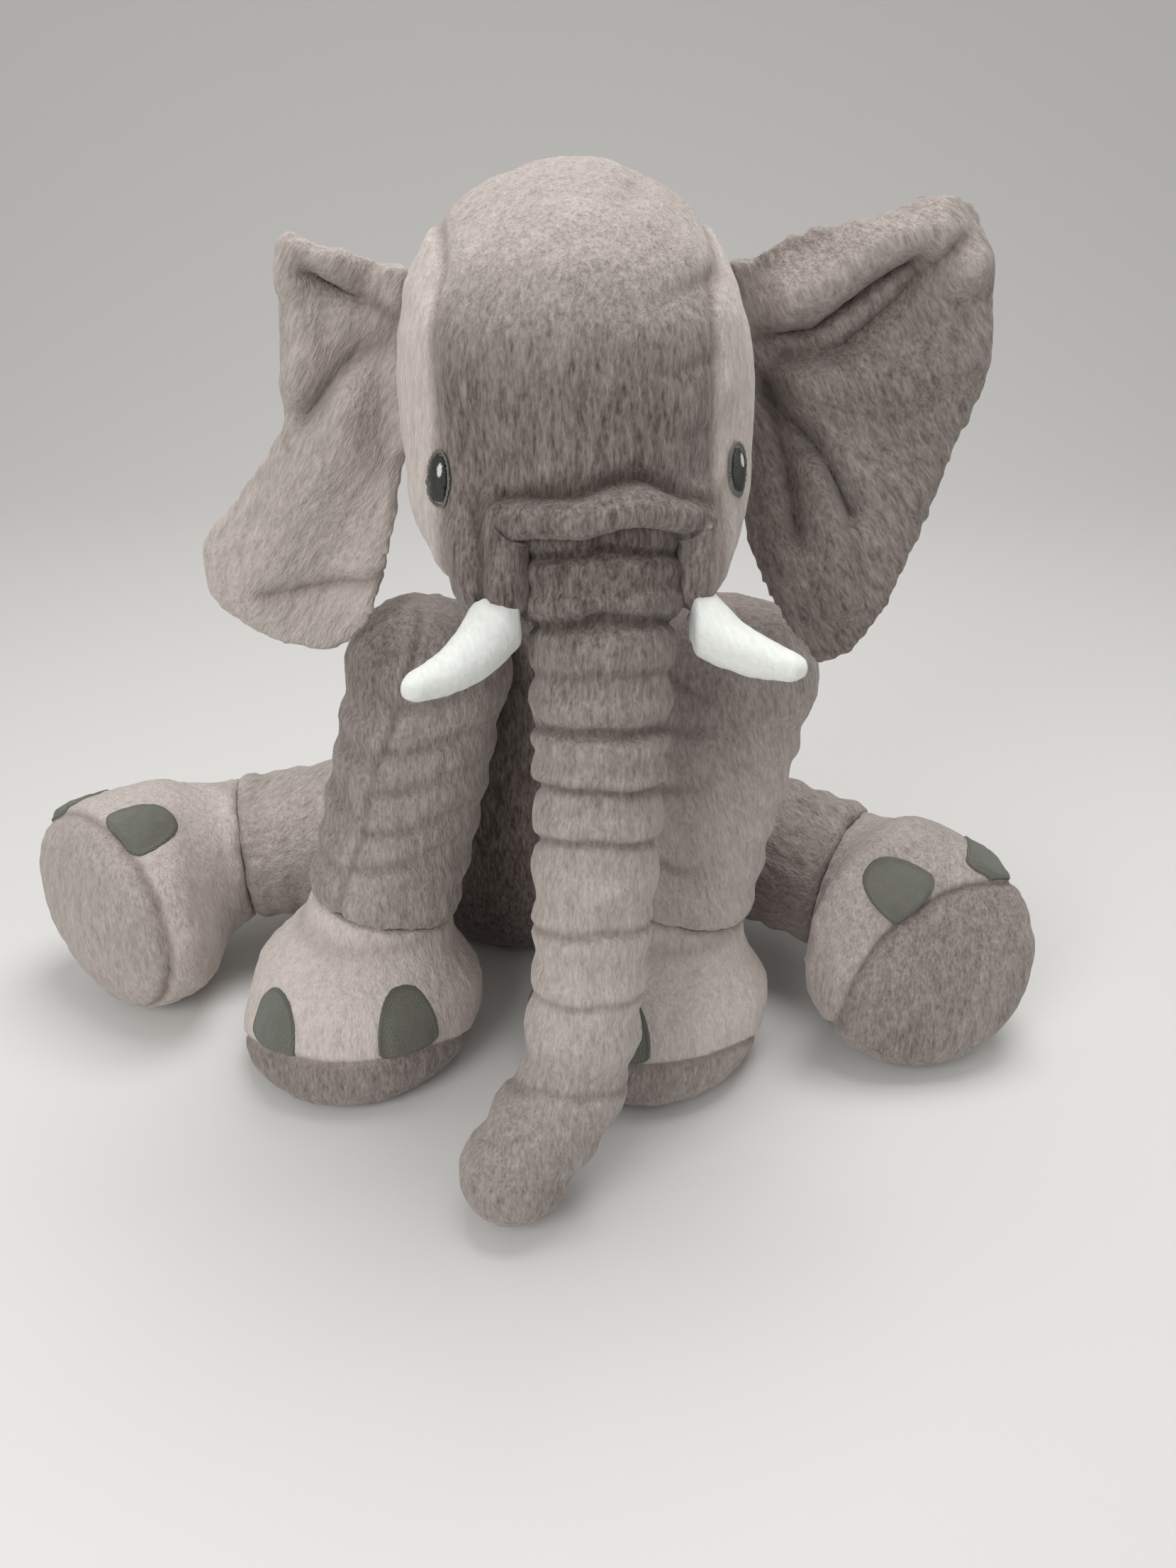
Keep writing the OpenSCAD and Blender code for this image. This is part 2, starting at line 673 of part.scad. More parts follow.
module tail_tuft() {
    end = tail_root() + unit(tail_hang) * (tail_l + fill_gap);
    color(plush) translate(end) along(-tail_hang) rotate_extrude($fn = 48)
        intersection() {
            translate([0, -tail_tuft_r]) scale([0.9, 1.2]) circle(tail_tuft_r, $fn = 48);
            translate([0, -4 * tail_tuft_r]) square([2 * tail_tuft_r, 4 * tail_tuft_r]);
        }
}

// ---- nodes ----

torso_side(LEFT);  // torso_left_side
torso_side(RIGHT);  // torso_right_side
torso_filling();
head_gusset();
head_cheek(LEFT);  // head_left_cheek
head_cheek(RIGHT);  // head_right_cheek
head_filling();
eye_ring(LEFT);  // left_eye_ring
eye_pupil(LEFT);  // left_eye_pupil
eye_ring(RIGHT);  // right_eye_ring
eye_pupil(RIGHT);  // right_eye_pupil
tusk(LEFT);  // left_tusk
tusk(RIGHT);  // right_tusk
ear(LEFT, -1);  // left_ear_front
ear(LEFT, 1);  // left_ear_back
ear(RIGHT, -1);  // right_ear_front
ear(RIGHT, 1);  // right_ear_back

trunk_length(0, "sleeve");  // trunk_root_sleeve
trunk_length(0, "filling");  // trunk_root_filling
trunk_length(1, "sleeve");  // trunk_upper_sleeve
trunk_length(1, "filling");  // trunk_upper_filling
trunk_length(2, "sleeve");  // trunk_middle_sleeve
trunk_length(2, "filling");  // trunk_middle_filling
trunk_length(3, "sleeve");  // trunk_lower_sleeve
trunk_length(3, "filling");  // trunk_lower_filling
trunk_tip("sleeve");  // trunk_tip_sleeve
trunk_tip("filling");  // trunk_tip_filling
leg_sleeve(front_left);  // front_left_leg_sleeve
leg_filling(front_left);  // front_left_leg_filling
foot_cover(front_left);  // front_left_foot_cover
sole(front_left);  // front_left_sole
foot_filling(front_left);  // front_left_foot_filling
nails(front_left);  // front_left_nails
leg_sleeve(front_right);  // front_right_leg_sleeve
leg_filling(front_right);  // front_right_leg_filling
foot_cover(front_right);  // front_right_foot_cover
sole(front_right);  // front_right_sole
foot_filling(front_right);  // front_right_foot_filling
nails(front_right);  // front_right_nails
leg_sleeve(hind_left);  // hind_left_leg_sleeve
leg_filling(hind_left);  // hind_left_leg_filling
foot_cover(hind_left);  // hind_left_foot_cover
sole(hind_left);  // hind_left_sole
foot_filling(hind_left);  // hind_left_foot_filling
nails(hind_left);  // hind_left_nails
leg_sleeve(hind_right);  // hind_right_leg_sleeve
leg_filling(hind_right);  // hind_right_leg_filling
foot_cover(hind_right);  // hind_right_foot_cover
sole(hind_right);  // hind_right_sole
foot_filling(hind_right);  // hind_right_foot_filling
nails(hind_right);  // hind_right_nails
tail_cord();
tail_tuft();
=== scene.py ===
import json
import math

import bmesh
import bpy
import numpy as np
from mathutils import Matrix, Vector, noise
from mathutils.bvhtree import BVHTree

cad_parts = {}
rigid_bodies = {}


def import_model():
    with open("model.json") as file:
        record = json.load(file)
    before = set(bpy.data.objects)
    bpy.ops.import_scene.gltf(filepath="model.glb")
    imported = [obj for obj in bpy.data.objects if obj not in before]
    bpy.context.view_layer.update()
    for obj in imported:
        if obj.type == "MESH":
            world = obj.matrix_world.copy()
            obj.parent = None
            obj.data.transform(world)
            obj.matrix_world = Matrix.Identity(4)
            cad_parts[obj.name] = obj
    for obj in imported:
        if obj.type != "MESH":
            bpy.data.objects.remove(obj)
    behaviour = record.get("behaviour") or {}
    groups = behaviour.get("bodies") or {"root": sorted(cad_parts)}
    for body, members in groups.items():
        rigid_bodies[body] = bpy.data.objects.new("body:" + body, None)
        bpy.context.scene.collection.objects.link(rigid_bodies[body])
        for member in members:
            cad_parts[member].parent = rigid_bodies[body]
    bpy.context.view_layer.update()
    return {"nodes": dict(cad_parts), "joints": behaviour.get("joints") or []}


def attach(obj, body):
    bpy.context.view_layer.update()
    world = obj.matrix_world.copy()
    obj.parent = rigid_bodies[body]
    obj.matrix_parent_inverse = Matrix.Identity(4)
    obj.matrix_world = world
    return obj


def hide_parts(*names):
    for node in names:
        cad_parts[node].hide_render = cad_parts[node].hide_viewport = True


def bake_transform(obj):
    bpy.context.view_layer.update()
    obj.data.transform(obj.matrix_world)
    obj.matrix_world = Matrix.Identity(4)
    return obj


for left_over in list(bpy.data.objects):
    bpy.data.objects.remove(left_over)
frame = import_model()

# ---- view ----
# The elephant is seen from in front and a little above, from about as far off as
# someone standing at the table that it sits on.


def linked(name, data):
    made = bpy.data.objects.new(name, data)
    bpy.context.scene.collection.objects.link(made)
    return made


camera = linked("camera", bpy.data.cameras.new("camera"))
camera.data.sensor_width = 36
camera.data.lens = 27.04
camera.location = (0.040, -0.860, 0.622)
camera.rotation_euler = (math.radians(60), 0, 0)
camera.data.clip_start = 0.02
bpy.context.scene.camera = camera

# ---- floor and light ----
# A plain pale floor that sweeps up into a wall behind, a large soft lamp overhead, a
# weaker one in front, and an even sky that fills the shadows.
bpy.context.scene.view_settings.view_transform = "Standard"
floor_half = 30.0
floor_back = 1.2
wall_curve = 2.2
wall_top = 12.0
sweep = [(-floor_half, 0.0), (floor_back, 0.0)]
sweep += [
    (floor_back + wall_curve * math.sin(a), wall_curve - wall_curve * math.cos(a))
    for a in np.linspace(0.0, math.pi / 2, 40)[1:]
]
sweep += [(floor_back + wall_curve, wall_top)]
floor_mesh = bpy.data.meshes.new("floor")
floor_mesh.from_pydata(
    [(x, y, z) for y, z in sweep for x in (-floor_half, floor_half)],
    [],
    [(2 * i, 2 * i + 1, 2 * i + 3, 2 * i + 2) for i in range(len(sweep) - 1)],
)


def round_off(mesh):
    """Shades a mesh as one smooth surface"""
    mesh.polygons.foreach_set("use_smooth", [True] * len(mesh.polygons))


def material_of(name, **inputs):
    """A material, its node tree and its shader, with the shader's inputs set"""
    material = bpy.data.materials.new(name)
    material.use_nodes = True
    shader = material.node_tree.nodes["Principled BSDF"]
    for label, value in inputs.items():
        shader.inputs[label.replace("_", " ")].default_value = value
    return material, material.node_tree, shader


round_off(floor_mesh)
floor = linked("floor", floor_mesh)
floor.location.z = -0.0005
floor_paint = material_of("floor paint", Base_Color=(0.74, 0.735, 0.72, 1), Roughness=0.8)[0]
floor_mesh.materials.append(floor_paint)

sky = bpy.context.scene.world or bpy.data.worlds.new("sky")
bpy.context.scene.world = sky
sky.use_nodes = True
sky.node_tree.nodes["Background"].inputs["Color"].default_value = (1.0, 0.995, 0.985, 1)
sky.node_tree.nodes["Background"].inputs["Strength"].default_value = 0.52

lamps_aim = Vector((0, -0.15, 0.3))
for name, place, size, watts in (
    ("overhead lamp", (0.25, 0.05, 1.9), 1.1, 19),
    ("front lamp", (-0.9, -1.6, 1.3), 1.0, 14),
):
    lamp = linked(name, bpy.data.lights.new(name, "AREA"))
    lamp.data.shape = "DISK"
    lamp.data.size = size
    lamp.data.energy = watts
    lamp.location = place
    lamp.rotation_mode = "QUATERNION"
    lamp.rotation_quaternion = (lamps_aim - Vector(place)).to_track_quat("-Z", "Y")

# ---- torso ----
# A sack of short plush cloth, stuffed hard enough to sit up. It is two halves sewn
# together down the back and the belly, and the limbs are sewn to its sides.
torso_voxel = 0.006
torso_seam_x = 0.018
hanging_nap = (0, 0, -1)


def piece_of(joined, name, materials=()):
    mesh = bpy.data.meshes.new(name)
    joined.to_mesh(mesh)
    joined.free()
    for material in materials:
        mesh.materials.append(material)
    return linked(name, mesh)


def solid_copy(name, *nodes):
    joined = bmesh.new()
    for node_name in nodes:
        joined.from_mesh(frame["nodes"][node_name].data)
    return piece_of(joined, name)


def settle_modifiers(piece):
    graph = bpy.context.evaluated_depsgraph_get()
    settled = bpy.data.meshes.new_from_object(piece.evaluated_get(graph), depsgraph=graph)
    settled.name = piece.name
    old = piece.data
    piece.modifiers.clear()
    piece.data = settled
    bpy.data.meshes.remove(old)


def one_skin(piece, voxel):
    remesh = piece.modifiers.new("one skin", "REMESH")
    remesh.mode = "VOXEL"
    remesh.voxel_size = voxel
    remesh.use_smooth_shade = True
    settle_modifiers(piece)


def divide(piece):
    smooth = piece.modifiers.new("divide", "SUBSURF")
    smooth.levels = smooth.render_levels = 1
    settle_modifiers(piece)


def numbers(items, key, width=3, kind=np.float32):
    flat = np.empty(len(items) * width, kind)
    items.foreach_get(key, flat)
    return flat.reshape(-1, width)


def points(mesh):
    return numbers(mesh.vertices, "co").astype(float)


def put_points(mesh, co):
    mesh.vertices.foreach_set("co", co.astype(np.float32).ravel())
    mesh.update()


def outward(mesh):
    return numbers(mesh.vertex_normals, "vector").astype(float)


def neighbours_mean(co, edges):
    both = np.concatenate([edges, edges[:, ::-1]])
    number = np.maximum(np.bincount(both[:, 0], minlength=len(co)), 1)
    sums = [np.bincount(both[:, 0], co[both[:, 1], axis], minlength=len(co)) for axis in range(3)]
    return np.stack([total / number for total in sums], axis=1)


# Each step draws the points together and the next spreads them again, so the size stays
def smooth_skin(piece, times, draw=0.6, spread=0.62):
    co, edges = points(piece.data), numbers(piece.data.edges, "vertices", 2, np.int32)
    for _ in range(times):
        co = co + (neighbours_mean(co, edges) - co) * draw
        co = co - (neighbours_mean(co, edges) - co) * spread
    put_points(piece.data, co)


# The filling presses the skin out between the seams that hold it, and no further than
# the cap
def fill_out(piece, held, cap, pressure=4.0, frames=20):
    mesh = piece.data
    before = points(mesh)
    group = piece.vertex_groups.new(name="seam")
    group.add([int(i) for i in np.nonzero(held)[0]], 1.0, "REPLACE")
    cloth = piece.modifiers.new("filling", "CLOTH")
    cloth.settings.quality = 4
    cloth.settings.mass = 0.3
    cloth.settings.use_pressure = True
    cloth.settings.uniform_pressure_force = pressure
    cloth.settings.effector_weights.gravity = 0
    cloth.settings.vertex_group_mass = "seam"
    cloth.collision_settings.use_collision = False
    cloth.collision_settings.use_self_collision = False
    cloth.point_cache.frame_start, cloth.point_cache.frame_end = 1, frames
    for number in range(1, frames + 1):
        bpy.context.scene.frame_set(number)
    after = points(piece.evaluated_get(bpy.context.evaluated_depsgraph_get()).data)
    piece.modifiers.clear()
    piece.vertex_groups.clear()
    bpy.context.scene.frame_set(1)
    move = after - before
    length = np.maximum(np.linalg.norm(move, axis=1, keepdims=True), 1e-9)
    put_points(mesh, before + move / length * cap * np.tanh(length / cap))


def ripple(co, size):
    return np.array([noise.noise(p) for p in (co / size).tolist()])


def groove(distance, width):
    return np.exp(-((distance / width) ** 2))


# A value or a vector that the mesh keeps at each point, for its colour
def keep(mesh, name, values):
    values = np.asarray(values, np.float32)
    kind, key = ("FLOAT", "value") if values.ndim == 1 else ("FLOAT_VECTOR", "vector")
    mesh.attributes.new(name, kind, "POINT").data.foreach_set(key, values.ravel())


# Clumps of pile stand proud of the skin, drawn out the way the nap lies. The mesh keeps
# where each point is across the nap, how deep it sits in a crease, which darkens it with
# painted shade, and how pale it is, partly the pile's own tone where the nap lies
# another way and partly painted light and shade.
def raise_pile(piece, nap, depth=0.0, tone_and_light=0.0, clump=0.006, height=0.0008, drawn_out=0.76):
    mesh = piece.data
    co, out = points(mesh), outward(mesh)
    depth, tone_and_light = (np.zeros(len(co)) + value for value in (depth, tone_and_light))
    lie = np.broadcast_to(np.asarray(nap, float), co.shape)
    lie = lie / np.maximum(np.linalg.norm(lie, axis=1, keepdims=True), 1e-9)
    along = (co * lie).sum(1, keepdims=True)
    rest = co - drawn_out * along * lie
    lift = ripple(rest, clump) + 0.55 * ripple(rest + 0.31, clump * 0.48)
    put_points(mesh, co + out * (lift * height * (1 - 0.5 * depth))[:, None])
    keep(mesh, "nap", rest)
    keep(mesh, "crease_shade", np.clip(depth, 0, 1))
    keep(mesh, "tone_and_light", tone_and_light)
    round_off(mesh)


# The look of brushed plush: clumps a few millimetres wide with pale tips, strands
# between them, and painted shade that darkens the cloth down in the creases. The kept
# share of tone and light, partly painted light and shade, leans the mix to the tips or
# the roots.
crease_shade_tint = (0.42, 0.38, 0.36, 1)
pile = bpy.data.node_groups.new("plush pile", "ShaderNodeTree")
for label, kind, value in [
    ("Tips", "NodeSocketColor", (0.5, 0.46, 0.44, 1)),
    ("Roots", "NodeSocketColor", (0.2, 0.18, 0.17, 1)),
    ("Clump", "NodeSocketFloat", 210.0),
    ("Tips Share", "NodeSocketFloat", 0.5),
]:
    pile.interface.new_socket(label, in_out="INPUT", socket_type=kind).default_value = value
pile.interface.new_socket("Color", in_out="OUTPUT", socket_type="NodeSocketColor")
pile.interface.new_socket("Height", in_out="OUTPUT", socket_type="NodeSocketFloat")


def node(tree, kind, **settings):
    made = tree.nodes.new(kind)
    for key, value in settings.items():
        if key.startswith("in_"):
            made.inputs[int(key[3:])].default_value = value
        else:
            setattr(made, key, value)
    return made


def noise_of(tree, place, **settings):
    texture = node(tree, "ShaderNodeTexNoise", **settings)
    tree.links.new(place, texture.inputs["Vector"])
    return texture


def mix_of(tree, factor, first, second, blend_type="MIX"):
    """A mix of two colours, each given as a socket or as a colour"""
    mix = node(tree, "ShaderNodeMix", data_type="RGBA", blend_type=blend_type)
    tree.links.new(factor, mix.inputs["Factor"])
    for slot, value in ((6, first), (7, second)):
        if isinstance(value, tuple):
            mix.inputs[slot].default_value = value
        else:
            tree.links.new(value, mix.inputs[slot])
    return mix.outputs[2]


def sum_of(tree, *terms):
    """The sum of the sockets, each times its weight"""
    total = None
    for socket, weight in terms:
        part = node(tree, "ShaderNodeMath", operation="MULTIPLY", in_1=weight)
        tree.links.new(socket, part.inputs[0])
        if total is None:
            total = part.outputs[0]
        else:
            both = node(tree, "ShaderNodeMath", operation="ADD")
            tree.links.new(total, both.inputs[0])
            tree.links.new(part.outputs[0], both.inputs[1])
            total = both.outputs[0]
    return total


given = pile.nodes.new("NodeGroupInput")
result = pile.nodes.new("NodeGroupOutput")
place = node(pile, "ShaderNodeAttribute", attribute_name="nap").outputs["Vector"]
shade_in_crease = node(pile, "ShaderNodeAttribute", attribute_name="crease_shade").outputs["Fac"]
tone_and_light_there = node(pile, "ShaderNodeAttribute", attribute_name="tone_and_light").outputs["Fac"]
clumps = noise_of(pile, place, in_3=3.0, in_4=0.6)
pile.links.new(given.outputs["Clump"], clumps.inputs["Scale"])
strands = noise_of(pile, place, in_2=560.0, in_3=2.0, in_4=0.7)
patches = noise_of(pile, place, in_2=17.0, in_3=2.0)
tip_mask = sum_of(
    pile, (clumps.outputs["Fac"], 0.8), (strands.outputs["Fac"], 1.15), (patches.outputs["Fac"], 0.45)
)
tip_share = node(pile, "ShaderNodeMapRange", in_1=0.36, in_2=2.04)
pile.links.new(tip_mask, tip_share.inputs["Value"])
lean = node(pile, "ShaderNodeMath", operation="ADD")
lean.use_clamp = True
pile.links.new(tip_share.outputs["Result"], lean.inputs[0])
shift = node(pile, "ShaderNodeMath", operation="SUBTRACT", in_1=0.5)
pile.links.new(given.outputs["Tips Share"], shift.inputs[0])
pile.links.new(sum_of(pile, (shift.outputs[0], 1.0), (tone_and_light_there, 1.0)), lean.inputs[1])
brushed = mix_of(pile, lean.outputs[0], given.outputs["Roots"], given.outputs["Tips"])
pile.links.new(mix_of(pile, shade_in_crease, brushed, crease_shade_tint, "MULTIPLY"), result.inputs["Color"])
pile_height = sum_of(pile, (clumps.outputs["Fac"], 0.6), (strands.outputs["Fac"], 0.4))
pile.links.new(pile_height, result.inputs["Height"])


def from_srgb(*rgb):
    shares = [v / 255 for v in rgb]
    return tuple(v / 12.92 if v <= 0.04045 else ((v + 0.055) / 1.055) ** 2.4 for v in shares) + (1,)


def finish_surface(tree, shader, color, height, strength, depth):
    """Gives the shader its colour and the bumps that the height makes"""
    bump = node(tree, "ShaderNodeBump")
    bump.inputs["Strength"].default_value = strength
    bump.inputs["Distance"].default_value = depth
    tree.links.new(color, shader.inputs["Base Color"])
    tree.links.new(height, bump.inputs["Height"])
    tree.links.new(bump.outputs["Normal"], shader.inputs["Normal"])


def pile_cloth(name, tips, roots, bumps, share=0.5, clump=210.0, **inputs):
    cloth, tree, shader = material_of(name, **inputs)
    nap = node(tree, "ShaderNodeGroup", node_tree=pile)
    nap.inputs["Tips"].default_value = from_srgb(*tips)
    nap.inputs["Roots"].default_value = from_srgb(*roots)
    nap.inputs["Clump"].default_value = clump
    nap.inputs["Tips Share"].default_value = share
    finish_surface(tree, shader, nap.outputs["Color"], nap.outputs["Height"], *bumps)
    return cloth


torso = solid_copy("torso_plush", "torso_left_side", "torso_right_side", "torso_filling")
one_skin(torso, torso_voxel)
smooth_skin(torso, 6)
joint_place = {joint["name"]: np.array(joint["pos_m"], float) for joint in frame["joints"]}


def near(co, place, radius):
    return np.linalg.norm(co - np.asarray(place, float), axis=1) < radius


# Presses a line into the skin, as the thread does along a seam
def press_in(piece, amount):
    co = points(piece.data)
    put_points(piece.data, co - outward(piece.data) * amount[:, None])


# The seam and the seat hold the skin, and so does what is sewn to it
torso_at = points(torso.data)
held = (abs(torso_at[:, 0] - torso_seam_x) < 0.005) | (torso_at[:, 2] < 0.012)
for joint_name, radius in (
    ("head_nod", 0.066),
    ("front_left_leg_swing", 0.064),
    ("front_right_leg_swing", 0.064),
    ("hind_left_leg_splay", 0.073),
    ("hind_right_leg_splay", 0.073),
    ("tail_lift", 0.016),
):
    held |= near(torso_at, joint_place[joint_name], radius)
fill_out(torso, held, cap=0.005)
divide(torso)
torso_at = points(torso.data)
torso_seam = groove(torso_at[:, 0] - torso_seam_x, 0.0035) * (torso_at[:, 2] > 0.01)
press_in(torso, torso_seam * 0.0028)
# The front of the torso between the legs gets painted shade, and so does the seam's groove.
torso_back = points(torso.data)[:, 1]
belly_shade = np.clip((torso_back.mean() - torso_back) / 0.06, 0, 1)
raise_pile(torso, hanging_nap, depth=torso_seam * 0.7, tone_and_light=-0.34 * belly_shade)
plush = pile_cloth(
    "taupe plush",
    tips=(214, 203, 197),
    roots=(84, 73, 68),
    bumps=(0.85, 0.0030),
    Roughness=0.92,
    Specular_IOR_Level=0.15,
    Sheen_Weight=0.28,
    Sheen_Roughness=0.45,
    Sheen_Tint=(0.95, 0.9, 0.86, 1),
)
torso.data.materials.append(plush)
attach(torso, "torso")
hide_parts("torso_left_side", "torso_right_side", "torso_filling")

# ---- head ----
# A wide gusset runs from the brow over the crown to the nape, between two cheek
# panels. Filling rounds each panel, and the brow folds over the trunk's root.
head_middle = np.array((0.033, -0.200, 0.497))
head_turn = math.radians(7)
gusset_half = 0.0682
brow_middle_x = 0.004
ear_middle = np.array((0.093, 0.024, 0.0))
ear_reach = np.array((0.022, 0.020, 0.060))


def in_head(co):
    across = co - head_middle
    return np.stack(
        [
            across[:, 0] * math.cos(head_turn) + across[:, 1] * math.sin(head_turn),
            -across[:, 0] * math.sin(head_turn) + across[:, 1] * math.cos(head_turn),
            across[:, 2],
        ],
        axis=1,
    )


def soft_step(value, low, high):
    t = np.clip((value - low) / (high - low), 0, 1)
    return t * t * (3 - 2 * t)


head = solid_copy("head_plush", "head_gusset", "head_left_cheek", "head_right_cheek", "head_filling")
one_skin(head, 0.005)
smooth_skin(head, 5)
head_at = points(head.data)
local = in_head(head_at)
# The panel seams hold the skin, and so does what is sewn to it: the neck, the trunk, the
# muzzle and the ears
from_ear = np.stack([abs(local[:, 0]), local[:, 1], local[:, 2]], 1) - ear_middle
fill_out(
    head,
    (abs(abs(local[:, 0]) - gusset_half) < 0.004)
    | near(head_at, joint_place["head_nod"], 0.068)
    | near(head_at, joint_place["trunk_root_bend"], 0.062)
    | ((local[:, 2] < -0.06) & (abs(local[:, 0] - brow_middle_x) < 0.05))
    | (abs(from_ear) < ear_reach).all(1),
    cap=0.005,
)
divide(head)
local = in_head(points(head.data))
side_x = local[:, 0] - brow_middle_x
front = soft_step(-local[:, 1], 0.035, 0.06)
seam_x = abs(local[:, 0] + 0.008 * front) - gusset_half
panel_seam = groove(seam_x, 0.003)
brow_line = -0.031 - 0.014 * (side_x / 0.050) ** 2 + 0.0025 * np.sin(side_x * 95)
over_brow = local[:, 2] - brow_line
brow_crease = groove(over_brow, 0.0038) * front * soft_step(0.062 - abs(side_x), 0, 0.012)
jowl_crease = (
    groove(abs(side_x) - 0.062, 0.0040)
    * soft_step(-local[:, 2], 0.036, 0.050)
    * soft_step(local[:, 2], -0.108, -0.090)
    * front
)
lip = (
    groove(abs(side_x) - 0.050, 0.010)
    * soft_step(-local[:, 2], 0.034, 0.05)
    * soft_step(local[:, 2], -0.112, -0.092)
    * front
)
brow_roll = groove(over_brow + 0.014, 0.010) * soft_step(0.06 - abs(side_x), 0, 0.016) * front
under_roll = groove(over_brow + 0.024, 0.0032) * soft_step(0.046 - abs(side_x), 0, 0.012) * front
pulls = sum(
    groove(local[:, 2] - z - slope * (local[:, 0] - 0.04), 0.0035)
    * soft_step(local[:, 0], 0.012, 0.05)
    * (seam_x < 0)
    for z, slope in ((0.070, 0.5), (0.048, 0.25), (0.016, 0.1), (-0.012, -0.2))
) * front
crown_folds = (
    groove(local[:, 0] - 0.028 - 0.35 * (local[:, 1] + 0.02), 0.006)
    * soft_step(local[:, 2], 0.075, 0.09)
    * soft_step(-local[:, 1], -0.02, 0.02)
)
dimples = ripple(points(head.data) * (1, 1, 0.7), 0.045)
# For each line or roll: how dark the painted shade at its bottom is, and how many
# metres in it goes
head_marks = (
    (panel_seam, 0.6, 0.0024),
    (brow_crease, 1.0, 0.0056),
    (jowl_crease, 0.8, 0.0034),
    (under_roll, 0.8, 0.0035),
    (pulls, 0.22, 0.0016),
    (crown_folds, 0.2, 0.0026),
    (dimples, 0.0, 0.0014),
    (lip, 0.0, -0.0090),
    (brow_roll, 0.0, -0.0052),
)
head_crease_shade = np.clip(sum(mark * dark for mark, dark, _ in head_marks), 0, 1)
press_in(head, sum(mark * inward for mark, _, inward in head_marks))
smooth_skin(head, 1)
# The cheeks, the back of the head and the top of the forehead are painted lighter and the lower forehead
# darker, partly the pile's own tone where the nap lies another way and partly painted light and shade from
# the lamp above. The creases get painted shade.
on_cheek = soft_step(seam_x, -0.006, 0.006)
forehead_shade = soft_step(local[:, 2], 0.0, 0.10)
raise_pile(
    head,
    hanging_nap,
    depth=head_crease_shade,
    tone_and_light=0.27 * on_cheek + 0.08 * (1 - front) - (1 - on_cheek) * front * (0.32 - 0.46 * forehead_shade),
)
head.data.materials.append(plush)
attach(head, "head")
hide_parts("head_gusset", "head_left_cheek", "head_right_cheek", "head_filling")

# ---- eyes ----
# Each eye is embroidered: a dark oval of satin stitch with a pale fleck, and a band of
# grey-green thread round it. Both lie on the cheek beside the gusset's seam.
eye_lift = 0.0006
fleck_white = (0.84, 0.85, 0.82, 1)
stitch_shadow = (0.30, 0.30, 0.28, 1)


def skin_tree(piece):
    return BVHTree.FromPolygons(
        [v.co for v in piece.data.vertices], [tuple(f.vertices) for f in piece.data.polygons]
    )


# Lays a patch on the skin as it is after the filling: each point keeps its height over
# the solid that it was cut to, measured along the way out
def lay_on(piece, drawn, skin, lift, way):
    co = points(piece.data)
    way = Vector(way)
    for i, p in enumerate(co):
        start = Vector(p) + way * 0.02
        cut_to, lies_on = (tree.ray_cast(start, -way, 0.05)[0] for tree in (drawn, skin))
        if cut_to is not None and lies_on is not None:
            co[i] = np.array(lies_on + way * (max((Vector(p) - cut_to).dot(way), 0) + lift))
    put_points(piece.data, co)


def stitched(name, color, dark, scale, roughness, bump_depth=0.0006):
    thread, tree, shader = material_of(name, Roughness=roughness, Sheen_Weight=0.15, Sheen_Roughness=0.4)
    at = node(tree, "ShaderNodeAttribute", attribute_name="thread").outputs["Vector"]
    # Where the kept crease value is high, the thread is darkened towards the stitch shadow colour: painted
    # shade, as along a toenail's rim.
    edge = node(tree, "ShaderNodeAttribute", attribute_name="crease_shade").outputs["Fac"]
    fleck = node(tree, "ShaderNodeAttribute", attribute_name="fleck").outputs["Fac"]
    wave = node(tree, "ShaderNodeTexWave", in_1=scale, in_2=1.2, in_3=2.0, in_4=2.5)
    tree.links.new(at, wave.inputs["Vector"])
    rows, grain = wave.outputs["Fac"], noise_of(tree, at, in_2=900.0, in_3=2.0).outputs["Fac"]
    rib = sum_of(tree, (rows, 0.45), (grain, 0.9))
    ribbed = mix_of(tree, rib, from_srgb(*dark), from_srgb(*color))
    shaded = mix_of(tree, edge, ribbed, stitch_shadow, "MULTIPLY")
    rib_height = sum_of(tree, (rows, 0.8), (grain, 0.3))
    finish_surface(tree, shader, mix_of(tree, fleck, shaded, fleck_white), rib_height, 0.8, bump_depth)
    return thread


def keep_threads(mesh, threads, depth):
    keep(mesh, "thread", threads)
    keep(mesh, "crease_shade", np.clip(depth, 0, 1))
    round_off(mesh)


def drawn_tree(*nodes):
    corners, faces = [], []
    for name in nodes:
        mesh = frame["nodes"][name].data
        faces += [tuple(len(corners) + i for i in f.vertices) for f in mesh.polygons]
        corners += [v.co.copy() for v in mesh.vertices]
    return BVHTree.FromPolygons(corners, faces)


